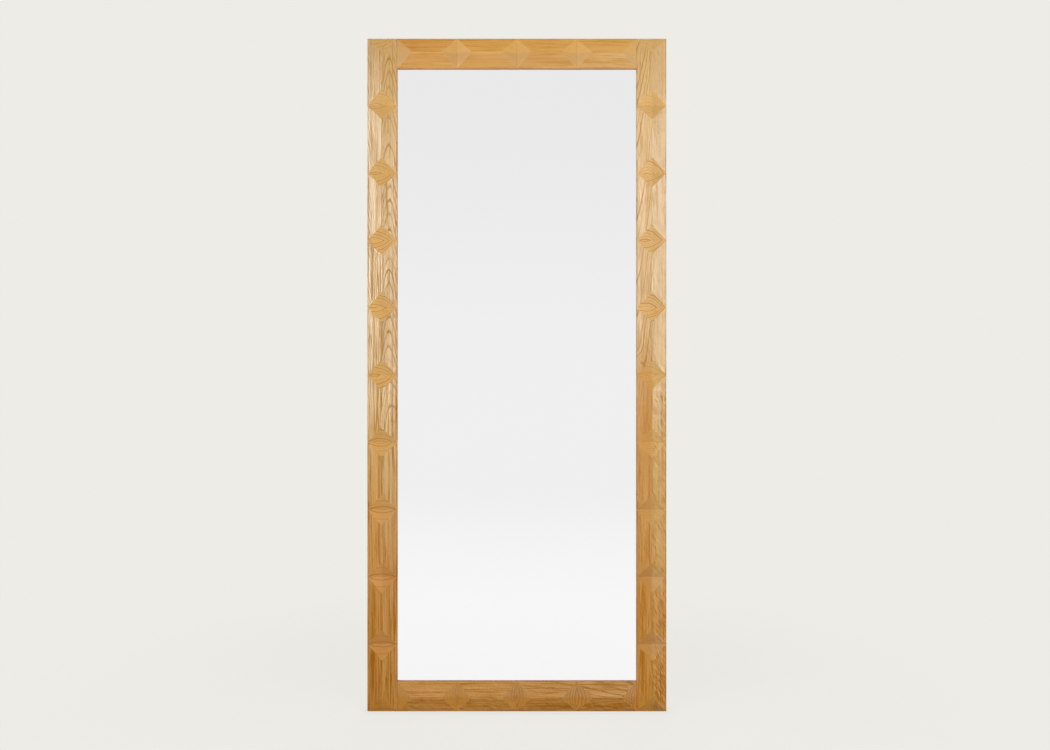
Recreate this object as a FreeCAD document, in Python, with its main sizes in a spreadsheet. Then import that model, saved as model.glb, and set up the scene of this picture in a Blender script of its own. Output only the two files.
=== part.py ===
import FreeCAD, Part
import math
import os
import Sketcher
from FreeCAD import Placement, Rotation, Vector

# Floor mirror with a carved oak frame, in millimetres.
# The front faces -Y, +X is to the right and +Z is up. The origin is under the middle of the frame,
# halfway between the carved ridges in front and the faces of the wall bumpers behind.

doc = FreeCAD.newDocument("floor_mirror")

# Driving dimensions: name, size in millimetres or a count, meaning
DIMENSIONS = [
    ("frame_width", 800, "overall width of the frame"),
    ("frame_height", 1800, "overall height of the frame"),
    ("stile_width", 80, "face width of the upright boards"),
    ("rail_width", 80, "face width of the cross boards"),
    ("edge_thickness", 30, "board thickness at its edges and in the valleys of the carving"),
    ("ridge_rise", 15, "height of the carved ridge above the edges"),
    ("stile_blocks", 10, "hipped blocks along a stile"),
    ("rail_blocks", 4, "hipped blocks along a rail"),
    ("lip_thickness", 4, "wood left in front of the glass at the sight edge"),
    ("rebate_width", 12, "how far the glass rebate reaches under the lip"),
    ("ledge_width", 14, "second step of the rebate, which the back panel is screwed to"),
    ("tape_thickness", 1, "glazing tape between lip and glass"),
    ("tape_width", 7, "width of the glazing tape"),
    ("tape_setback", 1, "distance of the tape from the sight edge"),
    ("glass_thickness", 4, "silvered glass"),
    ("glass_clearance", 2, "room round the glass, filled by setting blocks and spacers"),
    ("panel_thickness", 6, "back panel"),
    ("panel_clearance", 1, "room round the back panel"),
    ("block_length", 40, "length of a setting block or spacer"),
    ("block_inset", 140, "from a corner of the glass to the nearest block"),
    ("dowel_diameter", 10, "corner dowels"),
    ("dowel_length", 60, "half in the stile and half in the rail"),
    ("dowel_chamfer", 1.2, "tapered ends of a dowel"),
    ("dowel_inset", 16, "from the outer edge of the rail to the first dowel"),
    ("dowel_rebate_inset", 12, "from the rebate of the rail to the second dowel"),
    ("dowel_clearance", 0.1, "glue room round a dowel"),
    ("dowel_end_gap", 1.5, "glue room at the ends of a dowel"),
    ("panel_screw_head", 7, "head diameter of a countersunk panel screw"),
    ("panel_screw_shank", 3.5, "shank diameter of a panel screw"),
    ("panel_screw_length", 12, "length of a panel screw with its head"),
    ("side_screws", 6, "panel screws along each stile"),
    ("end_screws", 3, "panel screws along each rail"),
    ("side_screw_inset", 180, "from the end of a stile to its first panel screw"),
    ("end_screw_inset", 80, "from the end of a rail to its first panel screw"),
    ("pan_screw_head", 7.5, "head diameter of a pan head screw"),
    ("pan_screw_rise", 2.6, "head height of a pan head screw"),
    ("pan_screw_shank", 4, "shank diameter of a pan head screw"),
    ("pan_screw_length", 20, "length of a pan head screw under its head"),
    ("screw_clearance", 0.15, "room round every screw"),
    ("hanger_drop", 265, "from the middle of the upper bumper down to the ring axis"),
    ("strap_metal", 1.2, "steel of the hanger strap, which is folded double"),
    ("strap_width", 18, "width of the hanger strap"),
    ("strap_length", 58, "from the ring axis to the end of the strap"),
    ("strap_corner", 6, "rounded corners at the end of the strap"),
    ("strap_first_screw", 33, "from the ring axis to the first strap screw"),
    ("strap_second_screw", 49, "from the ring axis to the second strap screw"),
    ("ring_wire", 3.5, "wire diameter of the hanging ring"),
    ("ring_fit", 0.08, "running clearance of the ring in the eye of the strap"),
    ("ring_side_gap", 1, "from the strap to the bend of the ring"),
    ("ring_bend", 3.5, "bend of the ring beside the strap, to the middle of the wire"),
    ("ring_leg", 5, "straight side of the ring"),
    ("ring_rest_gap", 0.3, "from the hanging ring to the strap below it"),
    ("bumper_diameter", 22, "wall bumper at the frame"),
    ("bumper_height", 8, "how far a wall bumper stands off the frame"),
    ("bumper_taper", 1.5, "how much narrower a bumper's radius is at the wall"),
    ("bumper_rim", 1.2, "rounded rim of a bumper"),
    ("bumper_recess", 11, "diameter of the recess for the bumper screw"),
    ("bumper_floor", 3.5, "rubber under the head of the bumper screw"),
    ("bumper_inset", 35, "from the end of a stile to the middle of its bumper"),
    ("overrun", 5, "how far cuts run past the wood"),
]
dims = doc.addObject("Spreadsheet::Sheet", "dims")
for row, (alias, size, meaning) in enumerate(DIMENSIONS, start=1):
    dims.set(f"A{row}", meaning)
    dims.set(f"B{row}", str(size))
    dims.setAlias(f"B{row}", alias)
doc.recompute()

# Planes of the assembly, from front to back
RIDGE_Y = "(-(dims.ridge_rise + dims.edge_thickness + dims.bumper_height) / 2)"
LIP_Y = f"({RIDGE_Y} + dims.ridge_rise + dims.lip_thickness)"
GLASS_Y = f"({LIP_Y} + dims.tape_thickness)"
PANEL_Y = f"({GLASS_Y} + dims.glass_thickness)"
BACK_Y = f"({RIDGE_Y} + dims.ridge_rise + dims.edge_thickness)"

# The same planes as depths behind the ridge, for the boards
BOARD_DEPTH = "(dims.ridge_rise + dims.edge_thickness)"
LIP_DEPTH = "(dims.ridge_rise + dims.lip_thickness)"
LEDGE_DEPTH = f"({LIP_DEPTH} + dims.tape_thickness + dims.glass_thickness)"
DOWEL_DEPTH = "(dims.ridge_rise + dims.edge_thickness / 2)"

# Outlines across and along the frame
RAIL_LENGTH = "(dims.frame_width - 2 * dims.stile_width)"
SIGHT_X = f"({RAIL_LENGTH} / 2)"
REBATE_STEP = "(dims.rebate_width + dims.ledge_width)"
SCREW_STEP = "(dims.rebate_width + dims.ledge_width / 2)"
GLASS_X = f"({SIGHT_X} + dims.rebate_width - dims.glass_clearance)"
GLASS_Z = "(dims.rail_width - dims.rebate_width + dims.glass_clearance)"
GLASS_HEIGHT = f"(dims.frame_height - 2 * {GLASS_Z})"
PANEL_X = f"({SIGHT_X} + {REBATE_STEP} - dims.panel_clearance)"
PANEL_Z = f"(dims.rail_width - {REBATE_STEP} + dims.panel_clearance)"

# Middle of the flat strip at the back of a stile, where hangers and bumpers sit
HARDWARE_STEP = f"((dims.stile_width - {REBATE_STEP}) / 2)"
HARDWARE_X = f"(dims.frame_width / 2 - {HARDWARE_STEP})"
HANGER_HEIGHT = "(dims.frame_height - dims.bumper_inset - dims.hanger_drop)"
EYE_RADIUS = "(dims.ring_wire / 2 + dims.ring_fit)"
EYE_HEIGHT = f"({EYE_RADIUS} + dims.strap_metal)"

# Points closer than this are the same point
TOUCH = 1e-6


def origin_feature(body, role):
    """A plane or axis of the body's own origin."""
    return next(item for item in body.Origin.OriginFeatures if item.Role == role)


def new_body(label, position=("0", "0", "0"), rotation=Rotation()):
    """An empty body, placed by three expressions."""
    body = doc.addObject("PartDesign::Body", label)
    body.Label = label
    body.Placement = Placement(Vector(), rotation)
    for axis, expression in zip("xyz", position):
        body.setExpression(f"Placement.Base.{axis}", expression)
    return body


def new_sketch(body, name, plane, offset=("0", "0", "0")):
    """A sketch on one of the body's origin planes, moved by expressions along its own axes."""
    sketch = body.newObject("Sketcher::SketchObject", f"{body.Label}_{name}")
    sketch.AttachmentSupport = (origin_feature(body, plane), [""])
    sketch.MapMode = "FlatFace"
    for axis, expression in zip("xyz", offset):
        sketch.setExpression(f"AttachmentOffset.Base.{axis}", expression)
    return sketch


def constrain(sketch, constraint, expression):
    """Add a dimension to a sketch and bind it to an expression."""
    index = sketch.addConstraint(constraint)
    sketch.setExpression(f"Constraints[{index}]", expression)


def pin_point(sketch, geometry, point, drawn_at, position):
    """Bind a point, drawn anywhere, to two expressions measured from the sketch's origin."""
    for kind, drawn, expression in zip(("DistanceX", "DistanceY"), drawn_at, position):
        constrain(sketch, Sketcher.Constraint(kind, -1, 1, geometry, point, drawn), expression)


def draw_polygon(sketch, corners):
    """A closed outline through corners that are pairs of expressions."""
    count = len(corners)
    turns = [2 * math.pi * step / count for step in range(count)]
    drawn = [Vector(math.cos(turn), math.sin(turn)) for turn in turns]
    for step in range(count):
        sketch.addGeometry(Part.LineSegment(drawn[step], drawn[(step + 1) % count]))
    for step in range(count):
        sketch.addConstraint(Sketcher.Constraint("Coincident", step, 2, (step + 1) % count, 1))
    for step, corner in enumerate(corners):
        pin_point(sketch, step, 1, (drawn[step].x, drawn[step].y), corner)


def draw_rectangle(sketch, low, high):
    draw_polygon(sketch, [(high[0], low[1]), (high[0], high[1]), (low[0], high[1]), (low[0], low[1])])


def draw_circle(sketch, centre, diameter):
    unit_circle = Part.Circle(Vector(), Vector(0, 0, 1), 1)
    circle = sketch.addGeometry(unit_circle)
    pin_point(sketch, circle, 3, (0, 0), centre)
    constrain(sketch, Sketcher.Constraint("Radius", circle, 1), f"({diameter}) / 2")


def add_feature(body, kind, name, sketch):
    feature = body.newObject(f"PartDesign::{kind}", f"{body.Label}_{name}")
    feature.Profile = sketch
    return feature


def pad(body, sketch, length, side="One side"):
    feature = add_feature(body, "Pad", "pad", sketch)
    feature.SideType = side
    feature.setExpression("Length", length)
    doc.recompute()
    return feature


def cut(body, feature):
    """Recompute a cut and make sure that it took material away."""
    before = feature.BaseFeature.Shape.Volume
    doc.recompute()
    if not feature.Shape.Volume < before:
        raise RuntimeError(f"{feature.Label} cuts nothing")
    body.Tip = feature
    return feature


def pocket(body, name, sketch, depth=None, along_normal=False):
    """Cut a sketch against its plane's normal, or along it, to a depth or through everything."""
    feature = add_feature(body, "Pocket", name, sketch)
    feature.Reversed = along_normal
    if depth is None:
        feature.Type = "ThroughAll"
    else:
        feature.setExpression("Length", depth)
    return cut(body, feature)


def turn(body, name, corners, kind="Revolution", offset=("0", "0", "0")):
    """Turn an outline of (radius, distance along Y) corners about a line along Y."""
    sketch = new_sketch(body, f"{name}_outline", "XY_Plane", offset)
    draw_polygon(sketch, corners)
    feature = add_feature(body, kind, name, sketch)
    feature.ReferenceAxis = (sketch, ["V_Axis"])
    if kind == "Groove":
        return cut(body, feature)
    doc.recompute()
    return feature


def round_edges(body, chosen, radius):
    """Fillet the edges of the body so far that chosen(edge, shape) picks."""
    base = body.Tip
    edges = enumerate(base.Shape.Edges, start=1)
    names = [f"Edge{number}" for number, edge in edges if chosen(edge, base.Shape)]
    rounding = body.newObject("PartDesign::Fillet", f"{body.Label}_rounding")
    rounding.Base = (base, names)
    rounding.setExpression("Radius", radius)
    doc.recompute()


def repeat(body, feature, axis, length, count, second=None):
    """Repeat a feature along an axis, and along a second (axis, length) once more."""
    pattern = body.newObject("PartDesign::LinearPattern", f"{feature.Label}_row")
    pattern.Originals = [feature]
    pattern.Direction = (origin_feature(body, axis), [""])
    pattern.setExpression("Length", length)
    pattern.setExpression("Occurrences", count)
    if second:
        pattern.Direction2 = (origin_feature(body, second[0]), [""])
        pattern.setExpression("Length2", second[1])
        pattern.Occurrences2 = 2
    body.Tip = pattern
    doc.recompute()


# Carved boards. Each board is drawn alike: X from its outer edge to its sight edge, Y from the
# ridge to the back, Z along its length. The four boards are turned about Y into their places.


def carve_board(body, width, length, blocks):
    """A roof-shaped board whose cross valleys leave a row of hipped blocks."""
    section = new_sketch(body, "section", "XY_Plane")
    draw_polygon(section, [
        (width, "dims.ridge_rise"),
        (width, BOARD_DEPTH),
        ("0", BOARD_DEPTH),
        ("0", "dims.ridge_rise"),
        (f"{width} / 2", "0"),
    ])
    pad(body, section, length)
    # The valley falls by the ridge's rise in half the board's width, so the hips meet at 45 degrees
    valley = new_sketch(body, "valley_section", "YZ_Plane")
    draw_polygon(valley, [
        ("dims.ridge_rise", "0"),
        ("-dims.ridge_rise", width),
        ("-dims.ridge_rise", f"-{width}"),
    ])
    first = pocket(body, "valley", valley, along_normal=True)
    repeat(body, first, "Z_Axis", length, f"{blocks} + 1")


def cut_rebates(body, width, length, stop):
    """The stepped rebate at the back of the sight edge: glass first, then the back panel.

    stop gives, for each step's width, where the rebate stops short of the board's end."""
    steps = (("glass_rebate", LIP_DEPTH, "dims.rebate_width"), ("panel_rebate", LEDGE_DEPTH, REBATE_STEP))
    for name, depth, step in steps:
        outline = new_sketch(body, f"{name}_outline", "XZ_Plane", ("0", "0", f"-{depth}"))
        end = stop(step)
        low = (f"{width} - {step}", end)
        high = (f"{width} + dims.overrun", f"{length} - {end}")
        draw_rectangle(outline, low, high)
        pocket(body, name, outline)


def drill_panel_pilots(body, width, length, inset, count):
    """Pilot holes in the ledge for the screws of the back panel."""
    outline = new_sketch(body, "panel_pilot_outline", "XZ_Plane", ("0", "0", f"-{LEDGE_DEPTH}"))
    draw_circle(outline, (f"{width} - {SCREW_STEP}", inset), pilot_diameter("panel_screw"))
    depth = "dims.panel_screw_length - dims.panel_thickness + dims.screw_clearance"
    first = pocket(body, "panel_pilot", outline, depth, along_normal=True)
    repeat(body, first, "Z_Axis", f"{length} - 2 * {inset}", count)


def pilot_diameter(screw):
    return f"dims.{screw}_shank + 2 * dims.screw_clearance"


def dowel_hole_sketch(body, name, plane, offset, centres):
    outline = new_sketch(body, name, plane, offset)
    for centre in centres:
        draw_circle(outline, centre, "dims.dowel_diameter + 2 * dims.dowel_clearance")
    return outline


DOWEL_HOLE = "dims.dowel_length / 2 + dims.dowel_end_gap"
DOWEL_STEPS = ("dims.dowel_inset", f"(dims.rail_width - {REBATE_STEP} - dims.dowel_rebate_inset)")


def make_stile(label, position, rotation, height_on_board):
    """An upright board. height_on_board turns a height above the floor into a place on the board."""
    body = new_body(label, position, rotation)
    width = "dims.stile_width"
    length = "dims.frame_height"
    carve_board(body, width, length, "dims.stile_blocks")
    cut_rebates(body, width, length, lambda step: f"(dims.rail_width - {step})")
    drill_panel_pilots(body, width, length, "dims.side_screw_inset", "dims.side_screws")

    centres = [(DOWEL_DEPTH, step) for step in DOWEL_STEPS]
    centres += [(DOWEL_DEPTH, f"{length} - {step}") for step in DOWEL_STEPS]
    holes = dowel_hole_sketch(body, "dowel_hole_outline", "YZ_Plane", ("0", "0", width), centres)
    pocket(body, "dowel_holes", holes, DOWEL_HOLE)

    hardware = (
        ("hanger_pilots", "2 * dims.strap_metal", [
            f"{HANGER_HEIGHT} - dims.strap_first_screw",
            f"{HANGER_HEIGHT} - dims.strap_second_screw",
        ]),
        ("bumper_pilots", "dims.bumper_floor", [
            "dims.bumper_inset",
            "dims.frame_height - dims.bumper_inset",
        ]),
    )
    for name, gripped, heights in hardware:
        outline = new_sketch(body, f"{name}_outline", "XZ_Plane", ("0", "0", f"-{BOARD_DEPTH}"))
        for height in heights:
            centre = (HARDWARE_STEP, height_on_board(height))
            draw_circle(outline, centre, pilot_diameter("pan_screw"))
        depth = f"dims.pan_screw_length - {gripped} + dims.screw_clearance"
        pocket(body, name, outline, depth, along_normal=True)
    return body


def make_rail(label, position, rotation):
    """A cross board between the stiles."""
    body = new_body(label, position, rotation)
    width = "dims.rail_width"
    carve_board(body, width, RAIL_LENGTH, "dims.rail_blocks")
    cut_rebates(body, width, RAIL_LENGTH, lambda step: "(-dims.overrun)")
    drill_panel_pilots(body, width, RAIL_LENGTH, "dims.end_screw_inset", "dims.end_screws")

    centres = [(step, DOWEL_DEPTH) for step in DOWEL_STEPS]
    near = dowel_hole_sketch(body, "near_dowel_outline", "XY_Plane", ("0", "0", "0"), centres)
    pocket(body, "near_dowel_holes", near, DOWEL_HOLE, along_normal=True)
    far = dowel_hole_sketch(body, "far_dowel_outline", "XY_Plane", ("0", "0", RAIL_LENGTH), centres)
    pocket(body, "far_dowel_holes", far, DOWEL_HOLE)
    return body


def turned_about_y(degrees):
    return Rotation(Vector(0, 1, 0), degrees)


HALF_TURN = 180
QUARTER_TURN = 90
subparts = [
    make_stile("stile_left", ("-dims.frame_width / 2", RIDGE_Y, "0"), Rotation(), lambda height: height),
    make_stile(
        "stile_right",
        ("dims.frame_width / 2", RIDGE_Y, "dims.frame_height"),
        turned_about_y(HALF_TURN),
        lambda height: f"dims.frame_height - ({height})",
    ),
    make_rail("rail_top", (f"-{SIGHT_X}", RIDGE_Y, "dims.frame_height"), turned_about_y(QUARTER_TURN)),
    make_rail("rail_bottom", (SIGHT_X, RIDGE_Y, "0"), turned_about_y(-QUARTER_TURN)),
]


# Corner dowels: two in each joint, side by side across the rail


def make_dowels(label, joint_x, first_height, upwards):
    body = new_body(label, (joint_x, f"{RIDGE_Y} + {DOWEL_DEPTH}", first_height))
    radius = "dims.dowel_diameter / 2"
    half = "dims.dowel_length / 2"
    outline = new_sketch(body, "outline", "XY_Plane")
    draw_polygon(outline, [
        (half, "0"),
        (half, f"{radius} - dims.dowel_chamfer"),
        (f"{half} - dims.dowel_chamfer", radius),
        (f"dims.dowel_chamfer - {half}", radius),
        (f"-{half}", f"{radius} - dims.dowel_chamfer"),
        (f"-{half}", "0"),
    ])
    dowel = add_feature(body, "Revolution", "dowel", outline)
    dowel.ReferenceAxis = (outline, ["H_Axis"])
    doc.recompute()
    repeat(body, dowel, "Z_Axis", f"{DOWEL_STEPS[1]} - {DOWEL_STEPS[0]}", "2")
    body.Tip.Reversed = not upwards
    return body


for side, joint_x in (("left", f"-{SIGHT_X}"), ("right", SIGHT_X)):
    top = "dims.frame_height - dims.dowel_inset"
    subparts.append(make_dowels(f"dowels_top_{side}", joint_x, top, upwards=False))
    subparts.append(make_dowels(f"dowels_bottom_{side}", joint_x, "dims.dowel_inset", upwards=True))


# Glass with its tape, setting blocks and spacers


def make_slab(label, corner, size):
    """A plain box from its low corner and its size, all expressions."""
    box = doc.addObject("Part::Box", label)
    box.Label = label
    for side, expression in zip(("Length", "Width", "Height"), size):
        box.setExpression(side, expression)
    for axis, expression in zip("xyz", corner):
        box.setExpression(f"Placement.Base.{axis}", expression)
    return box


def make_blocks(label, corner, size, axis, span):
    """Two blocks, the second a span further along the axis."""
    body = new_body(label, corner)
    outline = new_sketch(body, "outline", "XY_Plane")
    draw_rectangle(outline, ("0", "0"), size[:2])
    first = pad(body, outline, size[2])
    repeat(body, first, axis, span, "2")
    return body


subparts.append(make_slab(
    "mirror_glass",
    (f"-{GLASS_X}", GLASS_Y, GLASS_Z),
    (f"2 * {GLASS_X}", "dims.glass_thickness", GLASS_HEIGHT),
))

TAPE_X = f"({SIGHT_X} + dims.tape_setback)"
TAPE_Z = "(dims.rail_width - dims.tape_setback - dims.tape_width)"
SIDE_TAPE = ("dims.tape_width", "dims.tape_thickness", f"dims.frame_height - 2 * {TAPE_Z}")
CROSS_TAPE = (f"2 * {TAPE_X}", "dims.tape_thickness", "dims.tape_width")
UPPER_TAPE_Z = "dims.frame_height - dims.rail_width + dims.tape_setback"
subparts += [
    make_slab("glazing_tape_left", (f"-{TAPE_X} - dims.tape_width", LIP_Y, TAPE_Z), SIDE_TAPE),
    make_slab("glazing_tape_right", (TAPE_X, LIP_Y, TAPE_Z), SIDE_TAPE),
    make_slab("glazing_tape_bottom", (f"-{TAPE_X}", LIP_Y, TAPE_Z), CROSS_TAPE),
    make_slab("glazing_tape_top", (f"-{TAPE_X}", LIP_Y, UPPER_TAPE_Z), CROSS_TAPE),
]

FLAT_BLOCK = ("dims.block_length", "dims.glass_thickness", "dims.glass_clearance")
UPRIGHT_BLOCK = ("dims.glass_clearance", "dims.glass_thickness", "dims.block_length")
FIRST_BLOCK_X = f"dims.block_inset - {GLASS_X}"
FIRST_BLOCK_Z = f"{GLASS_Z} + dims.block_inset"
ACROSS = f"2 * {GLASS_X} - 2 * dims.block_inset - dims.block_length"
UP = f"{GLASS_HEIGHT} - 2 * dims.block_inset - dims.block_length"
UNDER_GLASS = (FIRST_BLOCK_X, GLASS_Y, f"{GLASS_Z} - dims.glass_clearance")
OVER_GLASS = (FIRST_BLOCK_X, GLASS_Y, f"{GLASS_Z} + {GLASS_HEIGHT}")
LEFT_OF_GLASS = (f"-{GLASS_X} - dims.glass_clearance", GLASS_Y, FIRST_BLOCK_Z)
RIGHT_OF_GLASS = (GLASS_X, GLASS_Y, FIRST_BLOCK_Z)
subparts += [
    make_blocks("setting_blocks", UNDER_GLASS, FLAT_BLOCK, "X_Axis", ACROSS),
    make_blocks("spacers_top", OVER_GLASS, FLAT_BLOCK, "X_Axis", ACROSS),
    make_blocks("spacers_left", LEFT_OF_GLASS, UPRIGHT_BLOCK, "Z_Axis", UP),
    make_blocks("spacers_right", RIGHT_OF_GLASS, UPRIGHT_BLOCK, "Z_Axis", UP),
]


# Back panel and its countersunk screws. Screws sit in a grid along the stiles and one along the rails.

SIDE_SCREW = (f"-{SIGHT_X} - {SCREW_STEP}", "dims.side_screw_inset")
END_SCREW = (f"dims.end_screw_inset - {SIGHT_X}", f"dims.rail_width - {SCREW_STEP}")
SIDE_COLUMN = ("Z_Axis", "dims.frame_height - 2 * dims.side_screw_inset", "dims.side_screws")
END_ROW = ("X_Axis", f"{RAIL_LENGTH} - 2 * dims.end_screw_inset", "dims.end_screws")
BETWEEN_COLUMNS = ("X_Axis", f"{RAIL_LENGTH} + 2 * {SCREW_STEP}")
BETWEEN_ROWS = ("Z_Axis", f"dims.frame_height - 2 * dims.rail_width + 2 * {SCREW_STEP}")
SCREW_GRIDS = (
    ("side_screw", SIDE_SCREW, SIDE_COLUMN, BETWEEN_COLUMNS),
    ("end_screw", END_SCREW, END_ROW, BETWEEN_ROWS),
)
SINK_DEPTH = "((dims.panel_screw_head - dims.panel_screw_shank) / 2)"
SHANK_RADIUS = "(dims.panel_screw_shank / 2)"
HEAD_RADIUS = "(dims.panel_screw_head / 2)"


def make_back_panel():
    """The panel, drawn with Y zero on its front face."""
    body = new_body("back_panel", ("0", PANEL_Y, "0"))
    outline = new_sketch(body, "outline", "XZ_Plane")
    draw_rectangle(outline, (f"-{PANEL_X}", PANEL_Z), (PANEL_X, f"dims.frame_height - {PANEL_Z}"))
    sheet = pad(body, outline, "dims.panel_thickness")
    sheet.Reversed = True
    doc.recompute()
    hole = [
        ("0", "0"),
        (f"{HEAD_RADIUS} + dims.screw_clearance", "0"),
        (f"{SHANK_RADIUS} + dims.screw_clearance", f"-{SINK_DEPTH}"),
        (f"{SHANK_RADIUS} + dims.screw_clearance", "-dims.panel_thickness - dims.overrun"),
        ("0", "-dims.panel_thickness - dims.overrun"),
    ]
    for name, (x, z), along, across in SCREW_GRIDS:
        first = turn(body, f"{name}_hole", hole, "Groove", (x, "dims.panel_thickness", z))
        repeat(body, first, *along, second=across)
    return body


def make_panel_screws(name, first, along, across):
    """Countersunk screws with their heads level with the back of the panel."""
    x, z = first
    body = new_body(f"panel_{name}s", (x, f"{PANEL_Y} + dims.panel_thickness", z))
    screw = turn(body, "screw", [
        ("0", "0"),
        (HEAD_RADIUS, "0"),
        (SHANK_RADIUS, f"-{SINK_DEPTH}"),
        (SHANK_RADIUS, "dims.panel_screw_shank - dims.panel_screw_length"),
        ("0", "-dims.panel_screw_length"),
    ])
    repeat(body, screw, *along, second=across)
    return body


subparts.append(make_back_panel())
subparts += [make_panel_screws(*grid) for grid in SCREW_GRIDS]


# Hangers: a steel strap folded round the bar of a wire ring, which swings in its eye

RING_BAR = "(dims.strap_width / 2 + dims.ring_side_gap)"
RING_RADIUS = f"({RING_BAR} + dims.ring_bend)"
RING_DROP = "(dims.ring_bend + dims.ring_leg)"
# Where the bow of the hanging ring crosses the edge of the strap, measured from the ring axis
BOW_HALF = f"sqrt({RING_RADIUS} * {RING_RADIUS} - dims.strap_width * dims.strap_width / 4)"
BOW_CROSSING = f"({RING_DROP} + {BOW_HALF})"
# Height that the wire has to gain there so that the ring lies clear of the folded strap
BOW_RISE = f"(2 * dims.strap_metal + dims.ring_rest_gap + dims.ring_wire / 2 - {EYE_HEIGHT})"
PAN_HEAD_TOP_SHARE = 0.55
PAN_HEAD_RIM_SHARE = 0.5


def pan_screw_outline():
    """Radius and distance along Y of a pan head screw whose head rests on Y zero."""
    head = "dims.pan_screw_head / 2"
    shank = "dims.pan_screw_shank / 2"
    return [
        ("0", "dims.pan_screw_rise"),
        ("0", "-dims.pan_screw_length"),
        (shank, "dims.pan_screw_shank - dims.pan_screw_length"),
        (shank, "0"),
        (head, "0"),
        (head, f"dims.pan_screw_rise * {PAN_HEAD_RIM_SHARE}"),
        (f"{head} * {PAN_HEAD_TOP_SHARE}", "dims.pan_screw_rise"),
    ]


def make_strap(label, position):
    """The strap seen from the side: an eye that stands on the wood, and two leaves below it."""
    body = new_body(label, position)
    side = new_sketch(body, "side", "YZ_Plane")
    leaves = "2 * dims.strap_metal"
    leaf_top = f"-sqrt({EYE_HEIGHT} * {EYE_HEIGHT} - ({leaves} - {EYE_HEIGHT}) * ({leaves} - {EYE_HEIGHT}))"
    unit_eye = Part.Circle(Vector(1, 0), Vector(0, 0, 1), 1)
    eye = side.addGeometry(Part.ArcOfCircle(unit_eye, -math.pi / 3, math.pi))
    drawn_top = side.Geometry[eye].StartPoint
    drawn_foot = drawn_top - Vector(0, 1)
    front = side.addGeometry(Part.LineSegment(drawn_top, drawn_foot))
    foot = side.addGeometry(Part.LineSegment(drawn_foot, Vector(0, drawn_foot.y)))
    back = side.addGeometry(Part.LineSegment(Vector(0, drawn_foot.y), Vector()))
    side.addConstraint([
        Sketcher.Constraint("Coincident", eye, 1, front, 1),
        Sketcher.Constraint("Coincident", front, 2, foot, 1),
        Sketcher.Constraint("Coincident", foot, 2, back, 1),
        Sketcher.Constraint("Coincident", back, 2, eye, 2),
    ])
    pin_point(side, eye, 3, (1, 0), (EYE_HEIGHT, "0"))
    pin_point(side, eye, 1, (drawn_top.x, drawn_top.y), (leaves, leaf_top))
    pin_point(side, front, 2, (drawn_foot.x, drawn_foot.y), (leaves, "-dims.strap_length"))
    pin_point(side, back, 1, (0, drawn_foot.y), ("0", "-dims.strap_length"))
    side.addConstraint(Sketcher.Constraint("PointOnObject", eye, 2, -1))
    bore = side.addGeometry(Part.Circle(Vector(1, 0), Vector(0, 0, 1), 1 / 2))
    side.addConstraint(Sketcher.Constraint("Coincident", bore, 3, eye, 3))
    constrain(side, Sketcher.Constraint("Radius", bore, 1 / 2), EYE_RADIUS)
    pad(body, side, "dims.strap_width", "Symmetric")

    holes = new_sketch(body, "hole_outline", "XZ_Plane")
    for step in ("first", "second"):
        draw_circle(holes, ("0", f"-dims.strap_{step}_screw"), pilot_diameter("pan_screw"))
    pocket(body, "holes", holes)

    round_edges(body, is_strap_corner, "dims.strap_corner")
    return body


def is_strap_corner(edge, strap):
    """Whether an edge runs through the metal at one of the two lower corners."""
    ends = [vertex.Point for vertex in edge.Vertexes]
    low = all(math.isclose(end.z, strap.BoundBox.ZMin, abs_tol=TOUCH) for end in ends)
    return low and math.isclose(ends[0].x, ends[-1].x, abs_tol=TOUCH)


def make_ring(label, position):
    """A wire bent into a bow, closed by the bar in the eye. It hangs down and leans on the strap."""
    body = new_body(label, position, Rotation(Vector(1, 0, 0), 1))
    body.setExpression("Placement.Rotation.Angle", f"asin({BOW_RISE} / {BOW_CROSSING})")
    spine = new_sketch(body, "spine", "XZ_Plane")
    draw_ring_spine(spine)
    section = new_sketch(body, "section", "YZ_Plane")
    draw_circle(section, ("0", "0"), "dims.ring_wire")
    doc.recompute()
    wire = add_feature(body, "AdditivePipe", "wire", section)
    wire.Spine = (spine, [])
    doc.recompute()
    return body


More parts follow.
